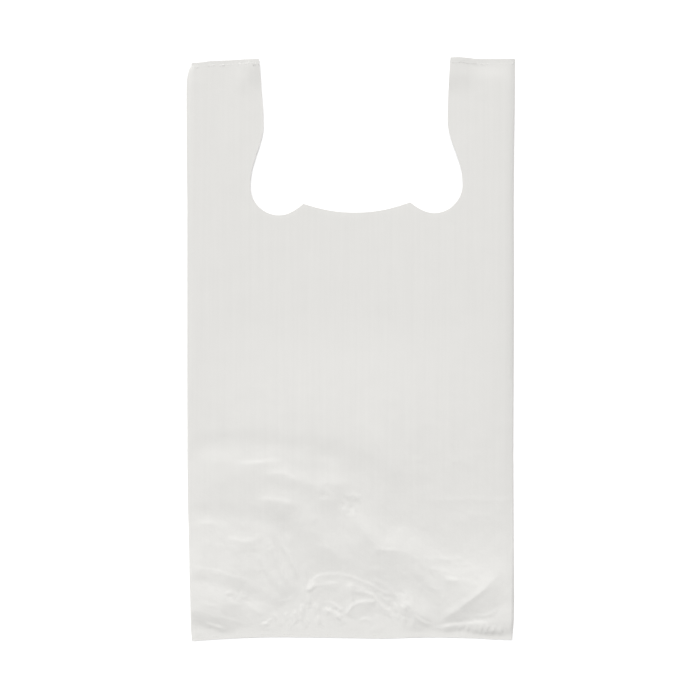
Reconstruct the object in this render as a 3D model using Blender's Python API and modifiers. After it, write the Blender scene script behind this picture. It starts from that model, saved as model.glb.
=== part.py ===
"""Plastic carrier bag of the vest kind, empty and lying on its back.

One piece of blown film. A seamless tube is laid flat with a gusset tucked in
at each side, fused across the bottom and across the top, and then cut out
between the handles. It lies flat in XY: the bottom seal is at -Y, the handles
at +Y and the lowest face at Z = 0.
"""
import math

import bmesh
import bpy
from mathutils import Matrix, Vector

MM = 0.001

# Driving sizes of the bag, in millimetres
BAG_WIDTH = 300.0
BAG_LENGTH = 533.0
GUSSET_DEPTH = 74.0
FILM = 0.3
PLY_GAP = 0.3
SEAL_SKIRT = 2.0
SEAL_WIDTH = 3.0

# Cut-out between the handles, before it is moved and turned: how far it stays from the
# sides and from the top
CUT_OFFSET = 4.2
CUT_TURN_DEG = 0.8
HANDLE_TOP_WIDTH = 63.0
HANDLE_WAIST_WIDTH = 66.8
WAIST_DEPTH = 59.2
HANDLE_ROOT_WIDTH = 53.9
LOBE_DEPTH = 116.7
LOBE_FOOT_FROM_SIDE = 80.2
LOBE_FOOT_DEPTH = 143.4
CUSP_FROM_SIDE = 102.1
CUSP_DEPTH = 133.2
MOUTH_DEPTH = 142.0

# How the upper wall lies over the gussets. Heights are above the flat edge
SIDE_ROLL = 5.0
SIDE_RISE = 1.8
CENTRE_RISE = 6.8
BOTTOM_SLOPE = 42.0
TOP_SLOPE = 150.0

# How far the edges stray from a true rectangle
LEFT_LEAN = 5.0
RIGHT_LEAN = 1.5
LEAN_LENGTH = 190.0
CORNER_LEAN = 6.0
CORNER_LENGTH = 34.0
BOTTOM_BOW = 2.6
TOP_DIP = 3.4
EDGE_FADE = 40.0

# Spacing of the mesh
FOLD_CELL = 10.0
FOLD_ROW = 8.0
PLAIN_CELL = 48.0
PLAIN_ROW = 30.0
FOLDED_LENGTH = 220.0
TOP_ROWS_LENGTH = 40.0
ROUND_STEPS = 3
SHARP_ANGLE_DEG = 60.0

FILM_COLOUR = (0.76, 0.753, 0.725, 1.0)
FILM_ROUGHNESS = 0.4

# Worked out from the sizes above
PITCH = FILM + PLY_GAP
FOLD_RADIUS = PITCH / 2
STACK = 4 * FILM + 3 * PLY_GAP
HALF_WIDTH = BAG_WIDTH / 2
HALF_LENGTH = BAG_LENGTH / 2
FOLD_CENTRE = HALF_WIDTH - FOLD_RADIUS - FILM / 2
SEAL_END = HALF_LENGTH - SEAL_SKIRT - SEAL_WIDTH

# Creases in the upper wall: start, middle and end of the crest, its height and half width.
# Places are from the lower left corner of the bag
CREASES = (
    ("shoulder_trough", (4, 178), (80, 180), (150, 168), -0.6, 11.0),
    ("left_shoulder_ridge", (14, 157), (56, 164), (98, 163), 1.0, 8.0),
    ("shoulder_ridge", (69, 154), (112, 145), (152, 139), 1.2, 8.0),
    ("handle_foot_ridge", (163, 193), (176, 181), (190, 165), 0.8, 7.0),
    ("middle_trough", (120, 168), (165, 154), (206, 126), -1.0, 14.0),
    ("middle_ridge", (63, 129), (106, 117), (137, 80), 1.2, 8.0),
    ("left_trough", (4, 114), (46, 112), (94, 90), -0.8, 8.0),
    ("left_ridge", (30, 96), (72, 84), (103, 42), 1.3, 9.0),
    ("left_band", (4, 67), (38, 60), (77, 46), 1.2, 10.0),
    ("upper_corner_band", (4, 48), (44, 32), (80, 9), 1.7, 8.0),
    ("corner_band", (2, 33), (26, 25), (62, 12), 1.9, 9.0),
    ("pucker_edge", (106, 46), (109, 30), (105, 13), 0.8, 6.0),
    ("pucker_trough", (112, 57), (152, 64), (198, 42), -1.0, 8.0),
    ("bottom_arc", (110, 46), (148, 59), (190, 37), 0.8, 7.0),
    ("left_dome", (124, 31), (134, 25), (145, 16), 0.9, 7.0),
    ("right_dome", (146, 19), (158, 34), (177, 37), 0.9, 8.0),
    ("main_ridge", (136, 122), (195, 82), (268, 43), 2.6, 16.0),
    ("dome_edge", (168, 43), (179, 31), (189, 20), 0.9, 6.0),
    ("low_ridge", (196, 40), (215, 28), (232, 16), 1.2, 7.0),
    ("corner_ridge", (222, 8), (263, 34), (298, 70), 2.4, 14.0),
)


def smooth_step(value):
    """Rises smoothly from 0 to 1 as the value goes from 0 to 1."""
    value = min(max(value, 0.0), 1.0)
    return value * value * (3 - 2 * value)


def crest_point(start, middle, end, share):
    """Point on a crest, which bends through its middle."""
    bend = 2 * Vector(middle) - (Vector(start) + Vector(end)) / 2
    first = Vector(start).lerp(bend, share)
    return first.lerp(bend.lerp(Vector(end), share), share)


def crease_height(place, crease, steps=16):
    """Height that one crease adds at a place."""
    _, start, middle, end, height, half_width = crease
    best = math.inf
    for i in range(steps + 1):
        away = (crest_point(start, middle, end, i / steps) - place).length
        best = min(best, away)
    return height * math.exp(-((best / half_width) ** 2))


def wall_rise(x, y):
    """Height of the upper wall above its flat edge, at a place from the bag's centre."""
    from_side = max(HALF_WIDTH - abs(x), 0.0)
    from_bottom = max(SEAL_END + y, 0.0)
    from_top = max(SEAL_END - y, 0.0)
    roll = 1 - math.exp(-from_side / SIDE_ROLL)
    arch = math.sin(math.pi / 2 * min(from_side / HALF_WIDTH, 1.0))
    rise = SIDE_RISE * roll + (CENTRE_RISE - SIDE_RISE) * arch
    ends = (1 - math.exp(-from_bottom / BOTTOM_SLOPE)) * smooth_step(from_top / TOP_SLOPE)
    place = Vector((x + HALF_WIDTH, y + HALF_LENGTH))
    heights = [crease_height(place, crease) for crease in CREASES] + [0.0]
    creases = max(heights) + min(heights)
    near_edge = roll * smooth_step(from_bottom / (4 * SEAL_WIDTH))
    return max(rise * ends + creases * near_edge, 0.0)


def lie_of_edges(x, y):
    """Moves a place of the true rectangle to where the lying bag has it."""
    side = x / HALF_WIDTH
    from_bottom = y + HALF_LENGTH
    from_top = HALF_LENGTH - y
    lean = (1 - smooth_step(from_bottom / LEAN_LENGTH)) ** 1.5
    x += lean * (LEFT_LEAN * max(-side, 0.0) - RIGHT_LEAN * max(side, 0.0))
    corner = max(1 - from_top / CORNER_LENGTH, 0.0) ** 2
    x += CORNER_LEAN * corner * max(-side - 0.5, 0.0) * 2
    near_bottom = max(1 - from_bottom / EDGE_FADE, 0.0)
    y += near_bottom * BOTTOM_BOW * (math.cos(math.pi * side) + 1) / 2
    near_top = max(1 - from_top / EDGE_FADE, 0.0)
    y -= near_top * TOP_DIP * smooth_step((abs(side) - 0.6) / 0.35)
    return x, y


def spread(start, end, cell):
    """Even values from start up to end, about a cell apart, without end itself."""
    count = max(round(abs(end - start) / cell), 1)
    return [start + (end - start) * i / count for i in range(count)]


def section_points():
    """Points round the film's section: x, height in the flat stack, and share of the wall's rise."""
    edge = FOLD_CENTRE
    tuck = HALF_WIDTH - GUSSET_DEPTH
    low = FILM / 2
    points = [(x, low, 0.0) for x in spread(0.0, edge, PLAIN_CELL)]

    def turn(x, height, outward, rise=0.0):
        for i in range(ROUND_STEPS + 1):
            angle = math.pi * (i / ROUND_STEPS - 0.5)
            lift = (math.sin(angle) + 1) / 2
            across = x + outward * FOLD_RADIUS * math.cos(angle)
            points.append((across, height + lift * PITCH, rise * lift))

    turn(edge, low, 1)
    points.extend((x, low + PITCH, 0.0) for x in spread(edge, tuck, PLAIN_CELL)[1:])
    turn(tuck, low + PITCH, -1)
    points.extend((x, low + 2 * PITCH, 0.0) for x in spread(tuck, edge, PLAIN_CELL)[1:])
    turn(edge, low + 2 * PITCH, 1, 1.0)
    upper = low + 3 * PITCH
    points.extend((x, upper, 1.0) for x in spread(edge, 0.0, FOLD_CELL)[1:])
    mirrored = [(-x, height, rise) for x, height, rise in reversed(points)]
    return points + [(0.0, upper, 1.0)] + mirrored


def section_rows():
    """Places of the sections along the bag, closest where the wall is creased."""
    creased_top = -HALF_LENGTH + FOLDED_LENGTH
    top_start = HALF_LENGTH - TOP_ROWS_LENGTH
    rows = [-HALF_LENGTH] + spread(-SEAL_END, creased_top, FOLD_ROW)
    rows += spread(creased_top, top_start, PLAIN_ROW)
    rows += spread(top_start, SEAL_END, FOLD_ROW)
    return rows + [SEAL_END, HALF_LENGTH]


def make_object(name, mesh_maker, collection):
    """Makes an object from a bmesh and puts it in a collection."""
    mesh = bpy.data.meshes.new(name)
    mesh_maker.to_mesh(mesh)
    mesh_maker.free()
    item = bpy.data.objects.new(name, mesh)
    collection.objects.link(item)
    return item


def film_tube(collection):
    """The folded tube of film, from the bottom seal to the top seal."""
    section = section_points()
    rows = section_rows()
    mesh_maker = bmesh.new()
    bmesh.ops.create_grid(mesh_maker, x_segments=len(section) - 1, y_segments=len(rows) - 1, size=1.0)
    for vertex in mesh_maker.verts:
        across, height, rise = section[round((vertex.co.x + 1) / 2 * (len(section) - 1))]
        along = rows[round((vertex.co.y + 1) / 2 * (len(rows) - 1))]
        x, y = lie_of_edges(across, along)
        z = height + rise * wall_rise(across, along)
        vertex.co = Vector((x, y, z)) * MM
    bmesh.ops.remove_doubles(mesh_maker, verts=mesh_maker.verts, dist=0.0001 * MM)
    bmesh.ops.recalc_face_normals(mesh_maker, faces=mesh_maker.faces)
    tube = make_object("carrier_bag", mesh_maker, collection)
    tube.data.shade_smooth()
    tube.data.set_sharp_from_angle(angle=math.radians(SHARP_ANGLE_DEG))
    wall = tube.modifiers.new("film", "SOLIDIFY")
    wall.thickness = FILM * MM
    wall.offset = 0.0
    wall.use_even_offset = True
    return tube


def seal_bar(name, middle, collection):
    """A bar of fused film across the bag, which fills the gaps between its plies."""
    steps = round(BAG_WIDTH / FOLD_CELL)
    mesh_maker = bmesh.new()
    bmesh.ops.create_cube(mesh_maker, size=1.0)
    place = Matrix.Translation((0, middle, STACK / 2))
    shape = Matrix.Diagonal((2 * FOLD_CENTRE + FOLD_RADIUS, SEAL_WIDTH, STACK - FILM, 1.0))
    bmesh.ops.transform(mesh_maker, matrix=place @ shape, verts=mesh_maker.verts)
    along_x = [edge for edge in mesh_maker.edges if abs(edge.verts[0].co.x - edge.verts[1].co.x) > 1]
    bmesh.ops.subdivide_edges(mesh_maker, edges=along_x, cuts=steps - 1, use_grid_fill=True)
    for vertex in mesh_maker.verts:
        x, y = lie_of_edges(vertex.co.x, vertex.co.y)
        vertex.co = Vector((x, y, vertex.co.z)) * MM
    return make_object(name, mesh_maker, collection)


def cut_outline():
    """Corners of the cut-out: place, way in and way out, right half from the top to the middle."""
    high = 2 * SEAL_WIDTH
    return (
        ((HALF_WIDTH - HANDLE_TOP_WIDTH, high), (0, high), (0, -high)),
        ((HALF_WIDTH - HANDLE_WAIST_WIDTH, -WAIST_DEPTH), (0, 22), (0, -20)),
        ((HALF_WIDTH - HANDLE_ROOT_WIDTH, -LOBE_DEPTH), (0, 24), (0, -14)),
        ((HALF_WIDTH - LOBE_FOOT_FROM_SIDE, -LOBE_FOOT_DEPTH), (15, 0), (-9, 0)),
        ((HALF_WIDTH - CUSP_FROM_SIDE, -CUSP_DEPTH), (5, -4), (-12, -4)),
        ((0.0, -MOUTH_DEPTH), (22, 0), (-22, 0)),
    )


def handle_cutter(collection):
    """Solid of the cut-out between the handles, through the whole bag."""
    half = cut_outline()
    other = [((-x, y), (-out_x, out_y), (-in_x, in_y))
             for (x, y), (in_x, in_y), (out_x, out_y) in reversed(half[:-1])]
    corners = list(half) + other
    curve = bpy.data.curves.new("handle_cut", "CURVE")
    curve.dimensions = "2D"
    curve.fill_mode = "BOTH"
    curve.extrude = (STACK + CENTRE_RISE) * MM
    curve.resolution_u = 8
    spline = curve.splines.new("BEZIER")
    spline.bezier_points.add(len(corners) - 1)
    spline.use_cyclic_u = True
    for point, (place, way_in, way_out) in zip(spline.bezier_points, corners):
        point.handle_left_type = point.handle_right_type = "FREE"
        point.co = Vector((*place, 0)) * MM
        point.handle_left = Vector((place[0] + way_in[0], place[1] + way_in[1], 0)) * MM
        point.handle_right = Vector((place[0] + way_out[0], place[1] + way_out[1], 0)) * MM
    first, last = spline.bezier_points[0], spline.bezier_points[-1]
    first.handle_left = first.co.lerp(last.co, 1 / 3)
    last.handle_right = last.co.lerp(first.co, 1 / 3)
    shape = bpy.data.objects.new("handle_cut_curve", curve)
    collection.objects.link(shape)
    turn = Matrix.Rotation(math.radians(CUT_TURN_DEG), 4, "Z")
    shape.matrix_world = Matrix.Translation((CUT_OFFSET * MM, HALF_LENGTH * MM, 0)) @ turn
    bpy.context.view_layer.update()
    evaluated = shape.evaluated_get(bpy.context.evaluated_depsgraph_get())
    mesh = bpy.data.meshes.new_from_object(evaluated)
    mesh_maker = bmesh.new()
    mesh_maker.from_mesh(mesh)
    bmesh.ops.remove_doubles(mesh_maker, verts=mesh_maker.verts, dist=0.001 * MM)
    bmesh.ops.recalc_face_normals(mesh_maker, faces=mesh_maker.faces)
    cutter = make_object("handle_cutter", mesh_maker, collection)
    cutter.matrix_world = shape.matrix_world
    bpy.data.objects.remove(shape)
    return cutter


def join(body, tool, operation):
    """Adds a Boolean to the body and keeps its tool out of the picture."""
    modifier = body.modifiers.new(tool.name, "BOOLEAN")
    modifier.operation = operation
    modifier.solver = "EXACT"
    modifier.object = tool
    tool.hide_render = True
    tool.display_type = "WIRE"


def film_material():
    """White high-density polyethylene film, slightly warm."""
    material = bpy.data.materials.new("white_hdpe_film")
    material.use_nodes = True
    shader = material.node_tree.nodes["Principled BSDF"]
    shader.inputs["Base Color"].default_value = FILM_COLOUR
    shader.inputs["Roughness"].default_value = FILM_ROUGHNESS
    shader.inputs["Metallic"].default_value = 0.0
    return material


def main():
    """Builds the bag."""
    for item in list(bpy.data.objects):
        bpy.data.objects.remove(item)
    parts = bpy.data.collections.new("plastic_carrier_bag")
    cutters = bpy.data.collections.new("cutters")
    for collection in (parts, cutters):
        bpy.context.scene.collection.children.link(collection)
    bag = film_tube(parts)
    bag.data.materials.append(film_material())
    join(bag, seal_bar("bottom_seal", -SEAL_END - SEAL_WIDTH / 2, cutters), "UNION")
    join(bag, seal_bar("top_seal", SEAL_END + SEAL_WIDTH / 2, cutters), "UNION")
    join(bag, handle_cutter(cutters), "DIFFERENCE")


main()
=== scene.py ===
"""A thin white carrier bag of the vest kind, lying empty and flat on a pale floor.

The bag is one tube of blown film with a gusset tucked in at each side. It is
welded across the bottom and across both handles and cut out between them.
Places on the bag are in millimetres from its lower left corner, seen from above.
"""

import logging
import math
from dataclasses import dataclass, field
from enum import Enum

import bmesh
import bpy
import numpy as np
from mathutils import Matrix, Vector

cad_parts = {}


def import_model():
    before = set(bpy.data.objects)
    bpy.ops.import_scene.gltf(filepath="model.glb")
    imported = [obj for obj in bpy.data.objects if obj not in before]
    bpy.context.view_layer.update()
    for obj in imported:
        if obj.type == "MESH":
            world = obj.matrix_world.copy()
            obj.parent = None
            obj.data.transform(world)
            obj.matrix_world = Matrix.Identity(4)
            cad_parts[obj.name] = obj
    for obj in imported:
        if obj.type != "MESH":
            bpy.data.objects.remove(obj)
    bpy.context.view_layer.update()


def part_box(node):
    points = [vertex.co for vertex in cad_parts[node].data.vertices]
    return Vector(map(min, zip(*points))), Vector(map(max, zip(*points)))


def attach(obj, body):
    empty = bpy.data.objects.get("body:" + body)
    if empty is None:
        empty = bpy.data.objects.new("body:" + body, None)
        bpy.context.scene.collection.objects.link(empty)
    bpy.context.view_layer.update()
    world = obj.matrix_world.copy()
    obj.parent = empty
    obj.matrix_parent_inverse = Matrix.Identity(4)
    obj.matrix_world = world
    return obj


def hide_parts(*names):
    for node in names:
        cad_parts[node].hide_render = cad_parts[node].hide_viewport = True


MM = 0.001
WAVES = 97
LEFT_WELD = 62
RIGHT_WELD = 55
LOG = logging.getLogger("carrier_bag")
CAD_NODE = "carrier_bag"
BODY = "root"
Places = tuple[tuple[float, float], ...]


class Crest(Enum):
    """How sharp a crease is along its crest: 0 is a soft roll, 1 a knife fold."""

    SOFT = 0.0
    FIRM = 0.45
    SHARP = 0.85


SOFT, FIRM, SHARP = Crest


def linear(code: str, alpha: float = 1.0) -> tuple[float, float, float, float]:
    """Turns an sRGB hex colour into linear values.

    Args:
        code: the colour, such as "#e3e2de".
        alpha: the fourth value.

    Returns:
        Red, green and blue from 0 to 1 and alpha.
    """
    parts = [int(code[i:i + 2], 16) / 255 for i in (1, 3, 5)]
    return (*[c / 12.92 if c <= 0.04045 else ((c + 0.055) / 1.055) ** 2.4 for c in parts], alpha)


def add_node(tree: bpy.types.NodeTree, kind: str, links: dict | None = None, **settings) -> bpy.types.Node:
    """Adds a node with its settings and links.

    Args:
        tree: the node tree.
        kind: the node's type name.
        links: output sockets, or plain values, by input name or index.
        settings: attributes of the node.

    Returns:
        The new node.
    """
    node = tree.nodes.new(kind)
    for name, value in settings.items():
        setattr(node, name, value)
    for key, value in (links or {}).items():
        if isinstance(value, bpy.types.NodeSocket):
            tree.links.new(value, node.inputs[key])
        else:
            node.inputs[key].default_value = value
    return node


def add_object(name: str, data: bpy.types.ID) -> bpy.types.Object:
    """Adds an object of this name and data to the scene."""
    thing = bpy.data.objects.new(name, data)
    bpy.context.scene.collection.objects.link(thing)
    return thing


def finished_mesh(thing: bpy.types.Object) -> bpy.types.Mesh:
    """The plain mesh that an object's modifiers or curve give."""
    bpy.context.view_layer.update()
    evaluated = thing.evaluated_get(bpy.context.evaluated_depsgraph_get())
    return bpy.data.meshes.new_from_object(evaluated)


def empty_material(name: str) -> tuple[bpy.types.Material, bpy.types.NodeTree]:
    """A new material and its cleared node tree."""
    material = bpy.data.materials.new(name)
    material.use_nodes = True
    material.node_tree.nodes.clear()
    return material, material.node_tree


def smooth_step(value: np.ndarray) -> np.ndarray:
    """Rises smoothly from 0 to 1 as the value goes from 0 to 1."""
    value = np.clip(value, 0.0, 1.0)
    return value * value * (3 - 2 * value)


def soft_noise(x: np.ndarray, y: np.ndarray, cell: float, seed: int) -> np.ndarray:
    """Smooth random waves.

    Args:
        x: places across.
        y: places along.
        cell: size of a wave, in the same unit.
        seed: fixes the pattern.

    Returns:
        Values from -1 to 1.
    """
    lattice = np.random.default_rng(seed).uniform(-1, 1, (WAVES, WAVES))
    column, row = np.floor(x / cell).astype(int), np.floor(y / cell).astype(int)
    across, along = smooth_step(x / cell - column), smooth_step(y / cell - row)
    corner = [[lattice[(row + j) % WAVES, (column + i) % WAVES] for i in (0, 1)] for j in (0, 1)]
    low = corner[0][0] * (1 - across) + corner[0][1] * across
    high = corner[1][0] * (1 - across) + corner[1][1] * across
    return low * (1 - along) + high * along


@dataclass(frozen=True)
class Crease:
    """One fold of the film, a ridge or a furrow.

    Its crest runs through a few chosen points. A positive height is a ridge,
    a negative one a furrow. The widths are those of its two slopes, on the
    left and on the right of someone who walks along the crest.
    """

    points: Places
    height: float
    left: float
    right: float
    crest: Crest = SHARP
    taper: float = 0.3

    def line(self, steps: int = 10) -> np.ndarray:
        """Points of the smooth crest.

        Args:
            steps: points between two chosen ones.

        Returns:
            An array of places.
        """
        given = np.array(self.points, float)
        padded = np.vstack([2 * given[0] - given[1], given, 2 * given[-1] - given[-2]])
        places = []
        for a, b, c, d in zip(padded, padded[1:], padded[2:], padded[3:]):
            for share in np.arange(steps) / steps:
                places.append(0.5 * (2 * b + (c - a) * share + (2 * a - 5 * b + 4 * c - d) * share ** 2
                                     + (3 * b - a - 3 * c + d) * share ** 3))
        return np.array(places + [given[-1]])

    def heights(self, x: np.ndarray, y: np.ndarray) -> np.ndarray:
        """Height that the crease adds at each place.

        Args:
            x: places across the bag.
            y: places along the bag.

        Returns:
            Heights, in the same unit.
        """
        line = self.line()
        reach = max(self.left, self.right)
        near = ((x > line[:, 0].min() - reach) & (x < line[:, 0].max() + reach)
                & (y > line[:, 1].min() - reach) & (y < line[:, 1].max() + reach))
        result = np.zeros_like(x)
        if not near.any():
            return result
        place = np.stack([x[near], y[near]], -1)[:, None, :]
        start, run = line[:-1][None], np.diff(line, axis=0)[None]
        length = np.maximum((run ** 2).sum(-1), 1e-9)
        share = np.clip(((place - start) * run).sum(-1) / length, 0, 1)
        away = place - start - run * share[..., None]
        distance = np.sqrt((away ** 2).sum(-1))
        best = distance.argmin(1)
        rows = np.arange(len(best))
        turn = run[0, best, 0] * away[rows, best, 1] - run[0, best, 1] * away[rows, best, 0]
        width = np.where(turn > 0, self.left, self.right)
        off = np.clip(distance[rows, best] / width, 0, 1)
        along = (best + share[rows, best]) / (len(line) - 1)
        ends = smooth_step(along / self.taper) * smooth_step((1 - along) / self.taper)
        soft = 0.5 + 0.5 * np.cos(math.pi * off)
        sharp = 1 - np.sin(math.pi / 2 * off)
        result[near] = self.height * ends * (soft + (sharp - soft) * self.crest.value)
        return result


@dataclass(frozen=True)
class Crumple:
    """A patch of small random creases, as where the film was squeezed.

    The creases run roughly one way, given in degrees from the bag's width.
    """

    centre: tuple[float, float]
    reach: tuple[float, float]
    count: int
    seed: int
    height: float = 0.25
    direction: float = 0.0
    scatter: float = 60.0
    length: float = 12.0
    half_width: float = 3.0

    def creases(self) -> list[Crease]:
        """Makes the patch's creases.

        Returns:
            The creases, the same ones each time.
        """
        random = np.random.default_rng(self.seed)
        made = []
        for _ in range(self.count):
            angle, share = random.uniform(0, 2 * math.pi), math.sqrt(random.uniform(0, 1))
            middle = Vector((self.centre[0] + self.reach[0] * share * math.cos(angle),
                             self.centre[1] + self.reach[1] * share * math.sin(angle)))
            turn = math.radians(self.direction + random.uniform(-1, 1) * self.scatter)
            half = Vector((math.cos(turn), math.sin(turn))) * self.length * random.uniform(0.3, 0.6)
            bow = Vector((-half.y, half.x)) * random.uniform(-0.3, 0.3)
            height = self.height * random.uniform(0.4, 1.0) * random.choice((1, 1, -1))
            width = self.half_width * random.uniform(0.7, 1.2)
            made.append(Crease((tuple(middle - half), tuple(middle + bow), tuple(middle + half)),
                               height, width, width * random.uniform(1.0, 1.6), SHARP, 0.4))
        return made


def folds(*rows: tuple) -> tuple[Crease, ...]:
    """Makes creases of rows with their values in order."""
    return tuple(Crease(*row) for row in rows)


def patches(*rows: tuple) -> tuple[Crumple, ...]:
    """Makes patches of rows with their values in order."""
    return tuple(Crumple(*row) for row in rows)


@dataclass
class LooseWall:
    """The upper wall's height over the flat gussets, from a gentle swell to its smallest creases."""

    width: float
    length: float
    seal_inset: float
    left_rise: float = 0.25
    left_roll: float = 1.2
    right_rise: float = 2.4
    right_roll: float = 6.0
    centre_rise: float = 4.4
    bottom_slope: float = 6.0
    bottom_share: float = 0.08
    belly_slope: float = 190.0
    top_start: float = 185.0
    top_slope: float = 110.0
    top_share: float = 0.15
    handle_share: float = 0.5
    handle_start: float = 200.0
    handle_slope: float = 20.0
    drift: float = 0.8
    drift_cell: float = 13.0
    depth: float = 0.75
    ripple: float = 0.08
    ripple_cell: float = 11.0
    low_ripple: float = 0.18
    low_reach: float = 200.0
    fine_share: float = 2.2
    noise_seeds: tuple[int, int, int, int] = (3, 5, 7, 9)
    arch_end: float = 20.0
    handle_foot: float = 0.2
    side_hold: float = 2.4
    side_share: float = 0.2
    bottom_hold: float = 9.0
    bottom_hold_share: float = 0.05
    top_hold: float = 10.0
    top_hold_share: float = 0.25
    lowest: float = 0.6
    # Folds that cross the bag above its lower third
    shoulder_folds: tuple[Crease, ...] = folds(
        (((-3, 178), (49, 181), (99, 177), (149.5, 168)), -0.6, 16, 13, SOFT, 0.15),
        (((8.5, 155), (21.5, 161.5), (36, 163), (53.5, 161.5), (72.5, 162),
          (96.5, 162.5)), 0.75, 13, 36, FIRM, 0.25),
        (((41.5, 163.5), (58, 163), (76.5, 164), (94.5, 165.5)), 0.45, 4, 16),
        (((-13, 143.5), (12.5, 145), (39.5, 146), (67, 146), (94.5, 143.5),
          (120, 136)), 1.0, 24, 60, SOFT, 0.2),
        (((63.5, 153), (78, 153), (91, 151), (101, 146), (114.5, 143), (131, 143), (143, 140.5),
          (155, 134)), 0.85, 14, 48, FIRM, 0.25),
        (((65.5, 154), (85.5, 153), (95.5, 149), (105.5, 144.5)), 0.5, 4, 14),
        (((102, 144.5), (117.5, 142.5), (133, 143.5), (146.5, 142.5)), 0.3, 6, 18),
        (((151, 211), (164, 194.5), (175, 179), (185, 164.5), (193, 147),
          (198.5, 129)), 1.2, 20, 26, FIRM, 0.4),
        (((103.5, 174.5), (131, 165.5), (158.5, 152.5), (187.5, 129)), -0.8, 24, 20, SOFT, 0.35),
        (((216, 129), (240.5, 129.5), (264.5, 129.5), (288, 129), (299, 129)), 0.25, 4, 7, SHARP, 0.2),
        (((255, 115), (270, 115.5), (286.5, 114)), 0.15, 4, 6, FIRM),
    )
    # Folds of the left half, which turn down towards the pucker over the bottom seal
    left_folds: tuple[Crease, ...] = folds(
        (((54.5, 128), (67, 128.5), (80, 128.5), (92, 126), (102, 122.5), (108, 115), (114.5, 105),
          (123, 93), (132, 82), (143, 72), (155, 62)), 1.2, 14, 36, FIRM, 0.25),
        (((63.5, 129.5), (74.5, 130), (89, 127), (103.5, 122.5)), 0.6, 4.5, 30),
        (((94.5, 130.5), (105.5, 118), (113.5, 104), (122, 90.5), (131, 76.5),
          (141, 64)), 1.2, 24, 22, SOFT, 0.4),
        (((113.5, 91.5), (123, 87), (133, 83)), 0.25, 5, 12),
        (((118.5, 128.5), (129, 129), (141, 128.5)), 0.45, 3.5, 11),
        (((113, 139.5), (126.5, 136), (142, 130.5)), 0.6, 7, 22, FIRM, 0.4),
        (((-3, 116), (30.5, 115), (61.5, 113), (83.5, 106), (96.5, 91.5)), -0.55, 14, 12, SOFT, 0.15),
        (((8.5, 107), (18.5, 108), (28, 106)), 0.3, 3, 6),
        (((-2.5, 101.5), (12.5, 102.5), (25, 98.5), (38, 92), (54.5, 89.5), (67, 91.5), (78, 93),
          (89, 92)), 0.9, 15, 38, FIRM, 0.25),
        (((32.5, 95), (49, 91.5), (69, 94)), 0.35, 4, 12),
        (((69, 94), (76.5, 78.5), (84.5, 64), (92.5, 51), (102.5, 37.5)), 0.8, 10, 16, SOFT, 0.2),
        (((72.5, 96), (79, 80.5), (87, 61), (95.5, 46.5)), 0.8, 3.5, 5),
        (((80, 104), (87, 87.5), (94.5, 70.5), (102, 50)), 0.8, 3, 6, SHARP, 0.4),
        (((87, 92), (94.5, 74), (102, 54)), 0.8, 3, 3),
        (((62.5, 84), (70, 68.5), (80, 54), (91, 43)), 0.8, 7, 6, FIRM),
        (((105.5, 72), (108, 60.5), (109, 48.5)), 0.6, 2.5, 3),
        (((102.5, 113), (111, 112.5), (119, 108)), 0.35, 6, 12, SOFT),
        (((104.5, 101.5), (113, 99.5), (121, 94)), 0.35, 7, 13, SOFT),
        (((19.5, 87.5), (34, 85), (51.5, 82)), 0.25, 4, 8, FIRM),
        (((-3, 66.5), (17, 63), (38, 58.5), (58, 51), (74.5, 44), (92, 35.5)), 1.3, 42, 12, FIRM, 0.12),
        (((3, 68.5), (17, 66), (31.5, 62.5), (49, 57.5), (63.5, 53)), 0.3, 2.5, 4, SHARP, 0.2),
    )
    # Bands that fan out of the left bottom corner
    left_corner_folds: tuple[Crease, ...] = folds(
        (((-1.5, 48.5), (12.5, 42), (29, 35.5), (43.5, 30), (56, 24.5), (67, 18.5),
          (78, 13)), 1.4, 24, 24, FIRM, 0.35),
        (((31.5, 42), (37, 44.5), (42.5, 44.5)), 0.5, 3, 5, SHARP, 0.4),
        (((33.5, 37.5), (41.5, 34), (50.5, 32)), 0.4, 4, 5),
        (((50.5, 33), (61.5, 26.5), (69, 21)), 0.4, 5, 5, FIRM),
        (((8.5, 36.5), (18, 33), (29, 30)), 0.3, 3, 4),
        (((-37, 40), (-15, 34), (3, 28.5), (18, 23.5), (32.5, 19), (52.5, 12)), 3.8, 100, 20, FIRM, 0.3),
        (((13, 15.5), (22.5, 12), (32.5, 7.5)), 0.6, 3, 4),
        (((23.5, 23), (35, 19.5), (47, 15.5), (58, 11.5)), 0.25, 2.5, 4),
        (((64.5, 11), (70, 13), (75.5, 12)), 0.8, 3, 4, SHARP, 0.4),
        (((6, 10), (6, 5.5), (5.5, 0)), 0.6, 1.2, 1.3),
        (((8, 10), (8, 5.5), (8, 0)), 0.6, 1.2, 1.3),
        (((11, 9), (10.5, 5.5), (10.5, 0)), 0.5, 1.2, 1.3),
    )
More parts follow.
